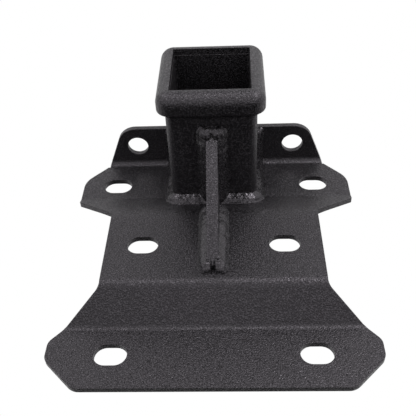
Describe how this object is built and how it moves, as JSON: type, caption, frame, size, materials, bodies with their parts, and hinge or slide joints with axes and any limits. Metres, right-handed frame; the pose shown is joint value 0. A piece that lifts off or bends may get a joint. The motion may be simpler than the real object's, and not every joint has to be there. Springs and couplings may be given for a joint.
{
  "type": "receiver hitch",
  "caption": "Black powder-coated receiver hitch: square receiver tube with a mouth collar, welded with a gusset to a folded, slotted mounting plate.",
  "frame": {"origin": "where the hitch pin's axis crosses the receiver tube's axis", "axes": "+X along the hitch pin, across the plate; +Y away from the front flange; +Z along the tube, out of its mouth"},
  "size_m": [0.2038, 0.2088, 0.1106],
  "materials": {
    "powder_coat": "satin textured powder coat"
  },
  "bodies": {
    "root": {"mounting_plate": "powder_coat", "receiver_tube": "powder_coat", "mouth_collar": "powder_coat", "gusset": "powder_coat", "weld_beads": "powder_coat"}
  },
  "joints": []
}
